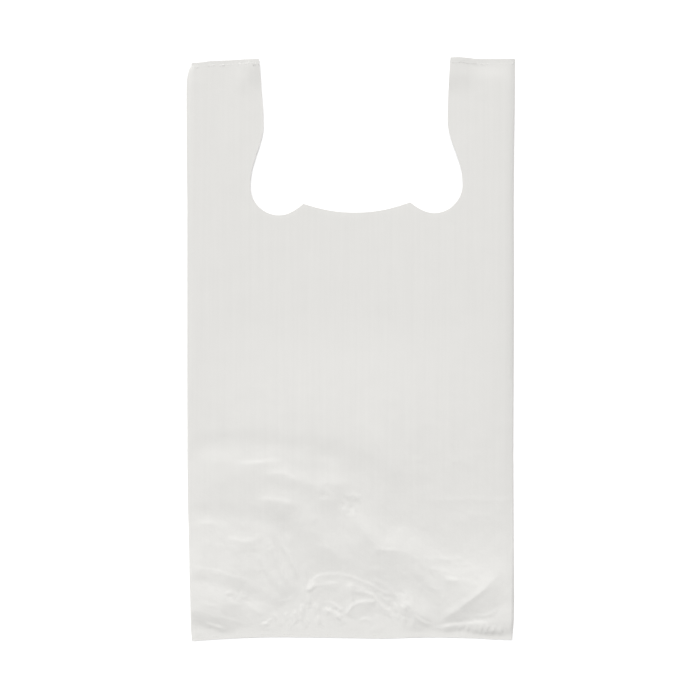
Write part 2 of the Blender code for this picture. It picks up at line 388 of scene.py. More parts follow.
    # Folds round the pucker over the bottom seal, left of the middle, and the two domes beside it
    pucker_folds: tuple[Crease, ...] = folds(
        (((74.5, 34.5), (83.5, 35.5), (92.5, 38.5), (100, 42)), 0.25, 3, 7),
        (((110, 44.5), (111, 37.5), (111, 29)), 1.0, 3, 3.5, SHARP, 0.4),
        (((115.5, 36.5), (119, 24.5), (120, 6.5)), 0.8, 4, 3.5),
        (((104.5, 34.5), (103.5, 24.5), (103.5, 12)), 0.9, 3.5, 4),
        (((97.5, 27.5), (98, 20), (99, 12)), 0.8, 3, 4),
        (((88, 26.5), (91, 17.5), (93.5, 7.5)), 0.7, 3, 4),
        (((77, 26.5), (81.5, 17.5), (85.5, 7.5)), 0.6, 3, 4),
        (((109, 44.5), (113.5, 49), (119, 53.5)), 0.9, 5, 4, FIRM),
        (((107.5, 43), (116.5, 50), (126.5, 52), (140, 51.5), (151, 48.5), (163, 44.5),
          (177.5, 40)), 0.75, 11, 24, FIRM, 0.15),
        (((111, 51), (116.5, 57), (123.5, 60.5), (135.5, 61), (147.5, 59), (158.5, 55), (167.5, 51.5),
          (176.5, 46), (187.5, 41)), 0.45, 2.5, 6, SHARP, 0.08),
        (((115.5, 50), (123, 52), (131, 53), (140, 52.5)), 0.3, 2.5, 8),
        (((148.5, 46.5), (156.5, 44.5), (165, 43), (172, 39.5)), 0.5, 3, 4),
        (((169.5, 57.5), (179.5, 52), (189.5, 46)), 0.3, 3, 9),
        (((145.5, 55), (150, 45.5), (151, 34), (147.5, 22)), 0.9, 5, 8, FIRM),
        (((149.5, 53), (156.5, 48.5), (165, 46)), 0.32, 2.5, 6),
        (((173, 44.5), (180.5, 38.5), (187.5, 34.5)), 0.45, 2.5, 6),
        (((145.5, 21), (149.5, 28), (155.5, 33), (164, 35), (174, 35.5)), 0.85, 3.5, 16, SHARP, 0.12),
        (((166.5, 44.5), (173, 37.5), (179.5, 30.5), (186.5, 24.5)), 0.8, 3, 10, SHARP, 0.2),
        (((123, 29), (132, 25), (138.5, 20.5), (145.5, 14)), 0.7, 5, 9, SHARP, 0.25),
        (((118.5, 23), (122, 15.5), (126.5, 7.5)), 0.6, 3, 4),
        (((128.5, 35.5), (137.5, 30), (144, 21)), 0.5, 2.5, 4),
        (((156.5, 15.5), (164, 18.5), (171, 15.5)), 0.5, 3, 4),
        (((69, 10), (72.5, 15.5), (78, 18.5)), 0.4, 2.5, 3),
        (((189.5, 37.5), (200.5, 34.5), (208.5, 27.5), (218.5, 19.5),
          (233.5, 13)), 2.6, 17, 24, FIRM, 0.35),
        (((197, 36.5), (199.5, 23.5), (198.5, 7.5)), 0.7, 3, 4),
        (((205, 32), (208, 22), (208, 7.5)), 0.7, 3, 4),
        (((206, 25.5), (211.5, 19), (218.5, 14), (228, 12)), 0.6, 3, 5),
    )
    # The broad ridge across the right half and the sharp crease over the right bottom corner
    right_folds: tuple[Crease, ...] = folds(
        (((134.5, 122.5), (149.5, 111.5), (162, 100.5), (175, 87), (187.5, 83.5), (200.5, 80.5),
          (211.5, 74), (222.5, 66.5), (233.5, 59.5), (245, 53), (259, 47),
          (273.5, 41)), 3.6, 27, 53, FIRM, 0.28),
        (((138.5, 119.5), (153, 110.5), (165.5, 98.5), (175, 87)), 0.7, 12, 16, SOFT),
        (((168.5, 85.5), (180.5, 83.5), (195, 82.5)), 0.4, 4, 8),
        (((229, 77), (237, 75.5), (245, 73)), 0.4, 4, 7),
        (((219.5, 68), (228, 65.5), (238, 63)), 0.4, 4, 7),
        (((234, 58.5), (242.5, 56), (252.5, 56)), 0.6, 4, 8),
        (((249, 57), (259, 55), (268, 50)), 0.4, 4, 8),
        (((206, 72), (217, 57.5), (233.5, 44)), 0.6, 8, 7, SOFT),
        (((218.5, 51), (226, 48.5), (233.5, 47.5)), 0.25, 3, 5),
        (((143, 131.5), (152, 134), (161, 131.5)), 0.5, 3, 5),
        (((142, 124), (145.5, 117), (152, 113)), 0.5, 4, 3),
        (((219, 8), (233.5, 18), (243.5, 25), (253.5, 32.5), (264.5, 41), (275.5, 50), (286.5, 61),
          (299, 75)), 3.2, 46, 24, FIRM, 0.35),
        (((219.5, 9), (233.5, 18), (243.5, 25), (253.5, 32.5), (264.5, 41), (275.5, 50),
          (288, 63)), 0.7, 8, 7),
        (((259, 21), (270, 22.5), (279, 25), (288, 33)), 0.4, 3, 5),
        (((229.5, 11), (245, 13.5), (263.5, 16), (284.5, 18)), 0.3, 3, 12, SHARP, 0.2),
        (((217, 8), (231.5, 10.5), (245, 12.5), (259, 13.5), (272.5, 15),
          (288, 16.5)), 0.7, 2.8, 9, FIRM, 0.35),
        (((252.5, 13.5), (250.5, 7.5), (251.5, 1)), 0.64, 1.6, 1.8),
        (((260, 14.5), (258, 8), (256, 1)), 0.8, 1.6, 1.8),
        (((266, 13), (264.5, 7.5), (263.5, 1)), 0.8, 1.5, 1.8),
        (((271.5, 14.5), (271, 8), (269, 1)), 0.96, 1.5, 1.8),
        (((277, 13.5), (276, 8), (275.5, 1)), 0.8, 1.5, 1.6),
        (((283.5, 14.5), (281.5, 8), (281.5, 1)), 0.95, 1.6, 1.8),
        (((290, 15.5), (289, 8), (287, 1)), 0.8, 1.6, 1.8),
        (((248, 6.5), (268, 12), (289, 18), (312, 23), (341, 30)), 3.1, 90, 21, SOFT, 0.4),
    )
    # Slight folds of the two handles
    handle_folds: tuple[Crease, ...] = folds(
        (((50, 499), (51, 510), (55, 522)), 0.7, 12, 7, SOFT),
        (((-3, 503), (6, 508), (14, 518)), 0.5, 7, 7, SOFT),
        (((40, 481), (52, 483), (66, 484)), 0.25, 3, 4),
        (((252.5, 496), (254.5, 510.5), (256, 528.5), (257, 545)), 0.7, 4, 6, SOFT, 0.45),
        (((261.5, 497.5), (270, 502.5), (279, 507.5)), 0.3, 4, 8),
        (((252, 489), (256, 486), (261, 485)), 0.3, 3, 3),
        (((262, 476), (261, 469), (262, 460)), 0.3, 3, 3),
    )
    # Ridges that hold up the inner corners of the two handles
    handle_curls: tuple[Crease, ...] = folds(
        (((43.5, 530.5), (60.5, 532.5), (83.5, 535)), 2.0, 12, 30, SOFT, 0.45),
        (((220.5, 533.5), (242.5, 533.5), (270, 528)), 2.6, 12, 36, SOFT, 0.45),
    )
    # Patches of small creases
    crumples: tuple[Crumple, ...] = patches(
        ((151, 126), (9, 11), 20, 11, 0.5, -60, 70, 9, 2.4),
        ((128, 137), (9, 5), 14, 12, 0.22, 0, 80, 7, 2.2),
        ((194, 31), (11, 17), 26, 13, 0.38, -70, 50, 11, 2.4),
        ((103, 20), (16, 13), 26, 14, 0.5, 85, 35, 9, 2.2),
        ((135, 24), (9, 7), 16, 15, 0.5, -45, 60, 8, 2.2),
        ((170, 8), (10, 5), 12, 25, 0.35, 85, 40, 6, 2.0),
        ((283, 8), (17, 6), 40, 16, 0.25, 88, 14, 10, 2.0),
        ((7, 6), (5, 5), 12, 17, 0.3, 88, 12, 10, 1.7),
        ((238, 70), (28, 10), 20, 18, 0.25, -25, 30, 12, 2.8),
        ((236, 160), (30, 24), 18, 19, 0.12, 0, 25, 18, 4.0),
        ((262, 117), (28, 9), 12, 26, 0.15, 0, 20, 14, 3.0),
        ((44, 38), (12, 7), 14, 20, 0.4, -28, 60, 8, 2.4),
        ((55, 84), (26, 8), 16, 27, 0.2, -10, 30, 12, 3.0),
        ((72, 13), (11, 6), 9, 21, 0.25, -20, 60, 8, 2.4),
        ((150, 255), (130, 85), 60, 22, 0.13, 10, 60, 22, 5.0),
        ((150, 60), (140, 50), 40, 23, 0.16, -20, 60, 18, 3.6),
        ((52, 526), (22, 4), 12, 24, 0.15, 90, 20, 8, 2.0),
    )

    def curl(self, x: np.ndarray, y: np.ndarray) -> np.ndarray:
        """How far the inner corners of the two handles stand up, with all plies together."""
        return sum(corner.heights(x, y) for corner in self.handle_curls)

    def swell(self, x: np.ndarray, y: np.ndarray) -> np.ndarray:
        """The wall's gentle rise off the flat sides and seals.

        Args:
            x: places across the bag.
            y: places along the bag.

        Returns:
            Heights, in the same unit.
        """
        from_left, from_right = np.maximum(x, 0), np.maximum(self.width - x, 0)
        from_bottom = np.maximum(y - self.seal_inset, 0)
        from_top = np.maximum(self.length - self.seal_inset - y, 0)
        start = self.bottom_share * (1 - np.exp(-from_bottom / self.bottom_slope))
        low = start + (1 - self.bottom_share) * smooth_step(from_bottom / self.belly_slope)
        fall = smooth_step((y - self.top_start) / self.top_slope)
        high = self.top_share + (1 - self.top_share) * (1 - fall)
        high = high * smooth_step((from_top - self.arch_end) / self.top_slope)
        edge = self.left_rise + (self.right_rise - self.left_rise) * smooth_step(x / self.width)
        edge = edge * (1 - np.exp(-from_left / self.left_roll))
        edge = edge * (1 - np.exp(-from_right / self.right_roll))
        over = smooth_step((y - self.handle_start) / (self.length - self.handle_start))
        edge = edge * (1 + (self.handle_share - 1) * over)
        edge = edge * smooth_step(from_top / self.handle_slope + self.handle_foot)
        arch = np.sin(math.pi * np.clip(x / self.width, 0, 1)) * high
        return (edge + (self.centre_rise - self.left_rise) * arch) * low

    def rise(self, x: np.ndarray, y: np.ndarray) -> np.ndarray:
        """Whole height of the wall over its flat edge.

        Args:
            x: places across the bag.
            y: places along the bag.

        Returns:
            Heights, in the same unit.
        """
        across, along, coarse, fine = self.noise_seeds
        shift_x = x + self.drift * soft_noise(x, y, self.drift_cell, across)
        shift_y = y + self.drift * soft_noise(x, y, self.drift_cell, along)
        chosen = (self.shoulder_folds + self.left_folds + self.left_corner_folds
                  + self.pucker_folds + self.right_folds + self.handle_folds)
        small = [crease for patch in self.crumples for crease in patch.creases()]
        folds = self.depth * sum(crease.heights(shift_x, shift_y) for crease in [*chosen, *small])
        lower = 1 - smooth_step(y / self.low_reach)
        ripple = self.ripple + (self.low_ripple - self.ripple) * lower
        waves = soft_noise(x, y, self.ripple_cell, coarse)
        waves = waves + 0.5 * soft_noise(x, y, self.ripple_cell / self.fine_share, fine)
        folds = folds + ripple * waves
        from_side = np.minimum(x, self.width - x)
        from_top = self.length - self.seal_inset - y
        # The folds fade where the film is folded or welded
        held = smooth_step(from_side / self.side_hold + self.side_share)
        held = held * smooth_step(y / self.bottom_hold + self.bottom_hold_share)
        near_top = smooth_step(from_top / self.top_hold)
        held = held * (self.top_hold_share + (1 - self.top_hold_share) * near_top)
        total = self.swell(x, y) + folds * held
        # The wall never sinks into the gussets below it
        return np.where(total > self.lowest, total, self.lowest * np.exp(total / self.lowest - 1))


@dataclass
class FilmBag:
    """The bag itself: one tube of thin film, folded flat, cut out and welded."""

    width: float
    length: float
    gusset_depth: float = 74.0
    film: float = 0.1
    ply_pitch: float = 0.3
    seal_inset: float = 4.5
    seal_squeeze: float = 0.45
    seal_fade: float = 100.0
    fine_cell: float = 1.45
    coarse_step: int = 4
    plain_cell: float = 40.0
    row_bands: Places = ((110.0, 1.25), (185.0, 1.7), (240.0, 2.5))
    plain_row: float = 4.5
    handle_top_row: float = 1.5
    handle_top_length: float = 9.0
    fold_steps: int = 3
    left_edge: Places = (
        (0, 4.9), (10, 4.1), (19, 3.7), (37, 3.4), (56, 2.8), (74, 2.6), (92, 2.1), (110, 1.7), (130, 1.2),
        (160, 0.9), (230, 0.7), (400, 0.7), (450, 0.1), (505, 0.0), (515, 0.3), (522, 1.1), (527, 2.6),
        (530, 4.5))
    right_edge: Places = (
        (0, 2.6), (5, 2.2), (10, 1.8), (19, 1.2), (37, 0.9), (56, 1.0), (92, 1.3), (170, 1.7), (270, 1.2),
        (350, 1.1), (400, 1.3), (450, 0.9), (495, 0.2), (533, 0.0))
    bottom_edge: Places = (
        (-147, 0.3), (-137, 1.0), (-128, 1.6), (-119, 2.1), (-101, 3.1), (-82, 3.6), (-65, 3.8), (-46, 3.5),
        (-10, 3.1), (10, 2.8), (27, 2.3), (45, 2.8), (63, 3.6), (82, 3.4), (100, 3.2), (118, 2.7), (127, 2.1),
        (136, 1.5), (150, 1.1))
    top_edge: Places = (
        (-146, 5.2), (-138, 4.2), (-133, 3.5), (-119, 3.0), (-101, 2.0), (-88, 1.7), (88, 0.9), (95, 0.0),
        (100, 0.1), (109, 0.9), (118, 2.1), (127, 2.1), (136, 1.7), (145, 1.4))
    edge_fade: float = 40.0
    cut_offset: float = 3.6
    cut_widening: float = 0.8
    cut_turn_deg: float = 0.8
    cutter_reach: float = 30.0
    cutter_steps: int = 16
    weld_distance: float = 0.001
    sharp_deg: float = 70.0
    wall: LooseWall = field(init=False)

    def __post_init__(self) -> None:
        """Makes the loose upper wall from the bag's own size."""
        self.wall = LooseWall(self.width, self.length, self.seal_inset)

    @staticmethod
    def spread(start: float, end: float, cell: float, group: int = 1) -> list[float]:
        """Even values from start up to end, without end itself.

        Args:
            start: first value.
            end: the value that would come after the last.
            cell: about how far apart they are.
            group: their count is a multiple of this.

        Returns:
            The values.
        """
        count = max(round(abs(end - start) / cell / group), 1) * group
        return [start + (end - start) * i / count for i in range(count)]

    def section(self) -> np.ndarray:
        """Points round the folded tube, from the middle of the lower wall and back to it.

        Returns:
            Rows of place across from the centre, ply number, share of the upper wall's rise,
            and 1 for a point that the smooth upper half of the bag keeps.
        """
        radius = self.ply_pitch / 2
        edge = self.width / 2 - radius - self.film / 2
        tuck = self.width / 2 - self.gusset_depth
        points = [(x, 0.0, 0.0, 1) for x in self.spread(0.0, edge, self.plain_cell)]

        def turn(x: float, ply: float, outward: int, rise: float) -> None:
            """Adds the half round of a fold, from one ply up to the next."""
            for i in range(self.fold_steps + 1):
                angle = math.pi * (i / self.fold_steps - 0.5)
                lift = (math.sin(angle) + 1) / 2
                points.append((x + outward * radius * math.cos(angle), ply + lift, rise * lift, 1))

        turn(edge, 0.0, 1, 0.0)
        points.extend((x, 1.0, 0.0, 1) for x in self.spread(edge, tuck, self.plain_cell)[1:])
        turn(tuck, 1.0, -1, 0.0)
        points.extend((x, 2.0, 0.0, 1) for x in self.spread(tuck, edge, self.plain_cell)[1:])
        turn(edge, 2.0, 1, 1.0)
        front = self.spread(edge, 0.0, self.fine_cell, self.coarse_step)
        points.extend((x, 3.0, 1.0, int(i % self.coarse_step == 0)) for i, x in enumerate(front) if i)
        mirrored = [(-x, *rest) for x, *rest in reversed(points[1:])]
        return np.array(points + [(0.0, 3.0, 1.0, 1)] + mirrored)

    def rows(self) -> tuple[np.ndarray, np.ndarray]:
        """Places of the sections along the bag.

        Returns:
            The close ones of the creased part, then those of the smooth part.
        """
        low, start = [], 0.0
        for end, cell in self.row_bands:
            low += self.spread(start, end, cell)
            start = end
        top = self.length - self.handle_top_length
        high = self.spread(start, top, self.plain_row) + self.spread(top, self.length, self.handle_top_row)
        return np.array(low), np.array(high + [self.length])

    def lie(self, x: np.ndarray, y: np.ndarray) -> tuple[np.ndarray, np.ndarray]:
        """Moves places of the true rectangle to where the lying bag has them.

        Args:
            x: places across, from the centre.
            y: places along, from the bottom edge.

        Returns:
            The moved places, in the same axes.
        """
        def inset(edge: Places, place: np.ndarray) -> np.ndarray:
            """How far an edge lies inside the true rectangle at each place."""
            return np.interp(place, [point[0] for point in edge], [point[1] for point in edge])

        side = x / (self.width / 2)
        moved_x = (x + inset(self.left_edge, y) * np.maximum(-side, 0)
                   - inset(self.right_edge, y) * np.maximum(side, 0))
        near_bottom = np.maximum(1 - y / self.edge_fade, 0)
        near_top = np.maximum(1 - (self.length - y) / self.edge_fade, 0)
        moved_y = y + near_bottom * inset(self.bottom_edge, x) - near_top * inset(self.top_edge, x)
        return moved_x, moved_y

    def squeeze(self, y: np.ndarray) -> np.ndarray:
        """How far apart the plies are: 1 where they lie loose, the seals' squeeze at the ends."""
        from_seal = np.minimum(y, self.length - y) - self.seal_inset
        return self.seal_squeeze + (1 - self.seal_squeeze) * smooth_step(from_seal / self.seal_fade)

    def place(self, x: np.ndarray, y: np.ndarray, ply: np.ndarray, share: np.ndarray) -> np.ndarray:
        """Where points of the flat, folded tube lie.

        Args:
            x: places across, from the centre.
            y: places along, from the bottom edge.
            ply: their ply, 0 for the lowest and 3 for the highest.
            share: their share of the loose wall's rise.

        Returns:
            One row of metres for each point.
        """
        rise = self.wall.rise(x + self.width / 2, y)
        z = self.film / 2 + ply * self.ply_pitch * self.squeeze(y) + share * rise
        z = z + self.wall.curl(x + self.width / 2, y)
        moved_x, moved_y = self.lie(x, y)
        return np.stack([moved_x, moved_y - self.length / 2, z], -1) * MM

    def film_mesh(self) -> bpy.types.Mesh:
        """Lays out the folded tube as one surface, before it gets its thickness.

        Returns:
            The mesh, fine where the film is creased and coarser above.
        """
        section = self.section()
        low, high = self.rows()
        kept = np.flatnonzero(section[:, 3])
        places, lines = [], []
        for rows, columns in ((low, np.arange(len(section))), (high, kept)):
            across, along = np.meshgrid(section[columns, 0], rows)
            ply, share = (np.broadcast_to(section[columns, i], across.shape) for i in (1, 2))
            first = sum(len(part) for part in places)
            places.append(self.place(across.ravel(), along.ravel(), ply.ravel(), share.ravel()))
            lines.append(first + np.arange(across.size).reshape(across.shape))
        faces = []
        for index in lines:
            after = np.roll(index, -1, axis=1)
            faces += np.stack([index[:-1], after[:-1], after[1:], index[1:]], -1).reshape(-1, 4).tolist()
        last, first = lines[0][-1], lines[1][0]
        for i, column in enumerate(kept):
            end = kept[i + 1] if i + 1 < len(kept) else len(section)
            below = [int(last[c % len(section)]) for c in range(column, end + 1)]
            faces.append([*below, int(first[(i + 1) % len(kept)]), int(first[i])])
        mesh = bpy.data.meshes.new("film")
        mesh.from_pydata(np.concatenate(places).tolist(), [], faces)
        mesh.update()
        return mesh

    def cut_outline(self) -> list[tuple]:
        """Corners of the cut-out, each a place with its way in and way out.

        Returns:
            The right half from the top to the middle, then the left half back up.
        """
        half_width = self.width / 2 + self.cut_widening
        right = [
            ((half_width - 63.0, 8.0), (0, 8), (0, -8)),
            ((half_width - 66.8, -59.2), (0, 22), (0, -20)),
            ((half_width - 53.9, -116.7), (0, 24), (0, -14)),
            ((half_width - 80.2, -143.4), (15, 0), (-9, 0)),
            ((half_width - 102.1, -133.2), (5, -4), (-12, -4)),
            ((0.0, -142.0), (22, 0), (-22, 0)),
        ]
        left = [((-x, y), (-out_x, out_y), (-in_x, in_y))
                for (x, y), (in_x, in_y), (out_x, out_y) in reversed(right[:-1])]
        return right + left

    def cutter(self) -> bpy.types.Object:
        """Makes the solid that cuts the film between the handles.

        Returns:
            An object tall enough to pass through the whole bag.
        """
        curve = bpy.data.curves.new("handle_cut", "CURVE")
        curve.dimensions = "2D"
        curve.fill_mode = "BOTH"
        curve.extrude = self.cutter_reach * MM
        curve.resolution_u = self.cutter_steps
        spline = curve.splines.new("BEZIER")
        outline = self.cut_outline()
        spline.bezier_points.add(len(outline) - 1)
        spline.use_cyclic_u = True
        for point, (place, way_in, way_out) in zip(spline.bezier_points, outline):
            point.handle_left_type = point.handle_right_type = "FREE"
            point.co = Vector((*place, 0)) * MM
            point.handle_left = Vector((place[0] + way_in[0], place[1] + way_in[1], 0)) * MM
            point.handle_right = Vector((place[0] + way_out[0], place[1] + way_out[1], 0)) * MM
        first, last = spline.bezier_points[0], spline.bezier_points[-1]
        first.handle_left = first.co.lerp(last.co, 1 / 3)
        last.handle_right = last.co.lerp(first.co, 1 / 3)
        shape = add_object("handle_cut", curve)
        turn = Matrix.Rotation(math.radians(self.cut_turn_deg), 4, "Z")
        place = Matrix.Translation((self.cut_offset * MM, self.length / 2 * MM, 0)) @ turn
        mesh = finished_mesh(shape)
        mesh.transform(place)
        maker = bmesh.new()
        maker.from_mesh(mesh)
        bmesh.ops.remove_doubles(maker, verts=maker.verts, dist=self.weld_distance * MM)
        bmesh.ops.recalc_face_normals(maker, faces=maker.faces)
        maker.to_mesh(mesh)
        maker.free()
        bpy.data.objects.remove(shape)
        return add_object("handle_cutter", mesh)

    def build(self) -> bpy.types.Object:
        """Builds the film with its thickness and its cut-out.

        Returns:
            The bag as one plain mesh object at the origin.
        """
        bag = add_object("film_bag", self.film_mesh())
        thickness = bag.modifiers.new("film", "SOLIDIFY")
        thickness.thickness = self.film * MM
        thickness.offset = 0.0
        cutter = self.cutter()
        bag.modifiers.new("triangles", "TRIANGULATE")
        cut = bag.modifiers.new("cut", "BOOLEAN")
        cut.operation = "DIFFERENCE"
        cut.solver = "EXACT"
        cut.object = cutter
        bag.modifiers.new("cut_triangles", "TRIANGULATE")
        mesh = finished_mesh(bag)
        bag.modifiers.clear()
        bag.data = mesh
        mesh.shade_smooth()
        mesh.set_sharp_from_angle(angle=math.radians(self.sharp_deg))
        bpy.data.objects.remove(cutter)
        LOG.info("film_bag: %d faces", len(mesh.polygons))
        return bag


@dataclass
class SealRibs:
    """The small ribs that a hot bar leaves where it welds the film, across each end of the bag."""

    name: str
    bag: FilmBag
    finish: bpy.types.Material
    along: float
    spans: Places
    rib: tuple[float, float, float]
    seed: int
    sunk: float = 0.55
    spacing: float = 1.5
    smallest: tuple[float, float, float] = (0.6, 0.5, 0.4)
    largest: tuple[float, float, float] = (1.3, 1.1, 1.0)
    wobble: float = 0.16

    def tree(self) -> bpy.types.NodeTree:
        """Makes the node tree that sets a flat rib at each step along a line.

        Returns:
            The tree, with named inputs for the ribs' sizes, seed and finish.
        """
        tree = bpy.data.node_groups.new("seal_ribs", "GeometryNodeTree")
        for name, kind in (("Line", "Geometry"), ("Spacing", "Float"), ("Rib size", "Vector"),
                           ("Seed", "Int"), ("Finish", "Material")):
            tree.interface.new_socket(name, in_out="INPUT", socket_type=f"NodeSocket{kind}")
        tree.interface.new_socket("Ribs", in_out="OUTPUT", socket_type="NodeSocketGeometry")
        given = add_node(tree, "NodeGroupInput").outputs
        curve = add_node(tree, "GeometryNodeMeshToCurve", {"Mesh": given["Line"]})
        steps = add_node(tree, "GeometryNodeCurveToPoints",
                         {"Curve": curve.outputs[0], "Length": given["Spacing"]}, mode="LENGTH")
        ball = add_node(tree, "GeometryNodeMeshIcoSphere", {"Radius": 0.5, "Subdivisions": 1})
        jitter = add_node(tree, "FunctionNodeRandomValue",
                          {0: self.smallest, 1: self.largest, "Seed": given["Seed"]},
                          data_type="FLOAT_VECTOR")
        size = add_node(tree, "ShaderNodeVectorMath", {0: given["Rib size"], 1: jitter.outputs[0]},
                        operation="MULTIPLY")
        wobble = add_node(tree, "FunctionNodeRandomValue",
                          {0: (0.0, 0.0, -self.wobble), 1: (0.0, 0.0, self.wobble), "Seed": given["Seed"]},
                          data_type="FLOAT_VECTOR")
        tilt = add_node(tree, "GeometryNodeInputNamedAttribute", {"Name": "film_slope"},
                        data_type="FLOAT_VECTOR")
        turn = add_node(tree, "ShaderNodeVectorMath", {0: wobble.outputs[0], 1: tilt.outputs["Attribute"]},
                        operation="ADD")
        ribs = add_node(tree, "GeometryNodeInstanceOnPoints",
                        {"Points": steps.outputs["Points"], "Instance": ball.outputs["Mesh"],
                         "Rotation": turn.outputs[0], "Scale": size.outputs[0]})
        real = add_node(tree, "GeometryNodeRealizeInstances", {"Geometry": ribs.outputs[0]})
        dressed = add_node(tree, "GeometryNodeSetMaterial",
                           {"Geometry": real.outputs[0], "Material": given["Finish"]})
        add_node(tree, "NodeGroupOutput", {"Ribs": dressed.outputs[0]})
        return tree

    def lines(self) -> bpy.types.Mesh:
        """Lays the middle lines of the weld on the film.

        Returns:
            A mesh of edges, one line for each span, with the film's slope at each point.
        """
        bag = self.bag
        around = bag.section()
        # The points are those of the film's own mesh, so that the ribs lie on it
        creased = self.along < bag.row_bands[-1][0]
        columns = np.unique(around[(around[:, 1] == 3) & (creased | (around[:, 3] == 1)), 0])
        places, edges, tilts = [], [], []
        for start, end in self.spans:
            x = np.array([start, *columns[(columns > start) & (columns < end)], end])
            first = len(places)
            below, here, above = (bag.place(x, np.full_like(x, self.along + step), np.full_like(x, 3.0),
                                            np.ones_like(x)) for step in (-1.0, 0.0, 1.0))
            places += here.tolist()
            tilts += np.arctan2(above[:, 2] - below[:, 2], above[:, 1] - below[:, 1]).tolist()
            edges += [(first + i, first + i + 1) for i in range(len(x) - 1)]
        mesh = bpy.data.meshes.new("seal_lines")
        mesh.from_pydata(places, edges, [])
        slope = mesh.attributes.new("film_slope", "FLOAT_VECTOR", "POINT")
        slope.data.foreach_set("vector", [value for angle in tilts for value in (angle, 0.0, 0.0)])
        sunk = self.sunk * self.rib[2] / 2
        mesh.transform(Matrix.Translation((0, 0, (bag.film / 2 - sunk) * MM)))
        return mesh

    def build(self) -> bpy.types.Object:
        """Builds the weld's ribs.

        Returns:
            The ribs as one plain mesh object at the origin.
        """
        ribs = add_object(self.name, self.lines())
        tree = self.tree()
        modifier = ribs.modifiers.new("ribs", "NODES")
        modifier.node_group = tree
        values = {"Spacing": self.spacing * MM, "Rib size": [size * MM for size in self.rib],
                  "Seed": self.seed, "Finish": self.finish}
        for socket in tree.interface.items_tree:
            if socket.in_out == "INPUT" and socket.name in values:
                modifier[socket.identifier] = values[socket.name]
        mesh = finished_mesh(ribs)
        ribs.modifiers.clear()
        ribs.data = mesh
        mesh.shade_smooth()
        LOG.info("%s: %d faces", self.name, len(mesh.polygons))
        return ribs


@dataclass(frozen=True)
class BlownFilm:
    """Blown HDPE film, white, about 0.02 mm thick.

    The eye sees a satin white that lets some light through, fine crinkles where it
    was handled and faint lines along the bag that the ring die left.
    """

    colour: str = "#efeeeb"
    thin_colour: str = "#eae9e6"
    # Painted light: the next colour is mixed in towards the bottom to lighten the lower part against its
    # folds' shade
    painted_light_colour: str = "#f4f3f0"
    roughness: tuple[float, float] = (0.34, 0.44)
    ior: float = 1.54
    glow: float = 0.13
    crinkle_mm: float = 5.0
    crinkle_height_mm: float = 0.16
    die_line_mm: float = 3.0
    die_line_length_mm: float = 160.0
    die_line_height_mm: float = 0.007
    crinkle_left: float = 0.3
    # How much of that painted light the bottom end gets
    painted_light_share: float = 0.55
    patch_mm: float = 25.0
    # Where along the bag the crinkle bump and the painted light both end
    crinkle_and_painted_light_to: float = -0.06
    low_end: float = -0.2665

    def material(self) -> bpy.types.Material:
        """Makes the film's material.

        Returns:
            The material, in Object coordinates.
        """
        material, tree = empty_material("blown_hdpe_film")
        place = add_node(tree, "ShaderNodeTexCoord").outputs["Object"]
        along = add_node(tree, "ShaderNodeSeparateXYZ", {0: place}).outputs["Y"]
        # Handling crinkled the lower part most
        crinkle_height = self.crinkle_height_mm * MM
        worn = add_node(tree, "ShaderNodeMapRange",
                        {"Value": along, "From Min": self.low_end, "From Max": self.crinkle_and_painted_light_to,
                         "To Min": crinkle_height, "To Max": crinkle_height * self.crinkle_left})
        crinkle = add_node(tree, "ShaderNodeTexNoise",
                           {"Vector": place, "Scale": 1 / (self.crinkle_mm * MM), "Detail": 3.0,
                            "Roughness": 0.55, "Distortion": 0.6})
        bump = add_node(tree, "ShaderNodeBump", {"Height": crinkle.outputs["Fac"], "Strength": 1.0,
                                                 "Distance": worn.outputs["Result"]})
        stretched = add_node(tree, "ShaderNodeMapping",
                             {"Vector": place, "Scale": (1 / (self.die_line_mm * MM),
                                                         1 / (self.die_line_length_mm * MM), 0.0)})
        line = add_node(tree, "ShaderNodeTexNoise",
                        {"Vector": stretched.outputs[0], "Scale": 1.0, "Detail": 2.0})
        lined = add_node(tree, "ShaderNodeBump",
                         {"Height": line.outputs["Fac"], "Strength": 1.0,
                          "Distance": self.die_line_height_mm * MM, "Normal": bump.outputs["Normal"]})
        tint = add_node(tree, "ShaderNodeMix", {0: line.outputs["Fac"], 6: linear(self.colour),
                                                7: linear(self.thin_colour)}, data_type="RGBA")
        # Painted light: the colour goes whiter towards the bottom, lightening the lower part that the folds'
        # shade darkens
        white = add_node(tree, "ShaderNodeMapRange",
                         {"Value": along, "From Min": self.low_end, "From Max": self.crinkle_and_painted_light_to,
                          "To Min": self.painted_light_share, "To Max": 0.0})
        tint = add_node(tree, "ShaderNodeMix", {0: white.outputs["Result"], 6: tint.outputs[2],
                                                7: linear(self.painted_light_colour)}, data_type="RGBA")
        patch = add_node(tree, "ShaderNodeTexNoise",
                         {"Vector": place, "Scale": 1 / (self.patch_mm * MM), "Detail": 2.0})
        gloss = add_node(tree, "ShaderNodeMapRange",
                         {"Value": patch.outputs["Fac"], "From Min": 0.3, "From Max": 0.7,
                          "To Min": self.roughness[0], "To Max": self.roughness[1]})
        shader = add_node(tree, "ShaderNodeBsdfPrincipled",
                          {"Base Color": tint.outputs[2], "Roughness": gloss.outputs["Result"],
                           "IOR": self.ior, "Normal": lined.outputs["Normal"]})
        through = add_node(tree, "ShaderNodeBsdfTranslucent",
                           {"Color": tint.outputs[2], "Normal": lined.outputs["Normal"]})
        mixed = add_node(tree, "ShaderNodeMixShader",
                         {0: self.glow, 1: shader.outputs[0], 2: through.outputs[0]})
        add_node(tree, "ShaderNodeOutputMaterial", {"Surface": mixed.outputs[0]})
        return material


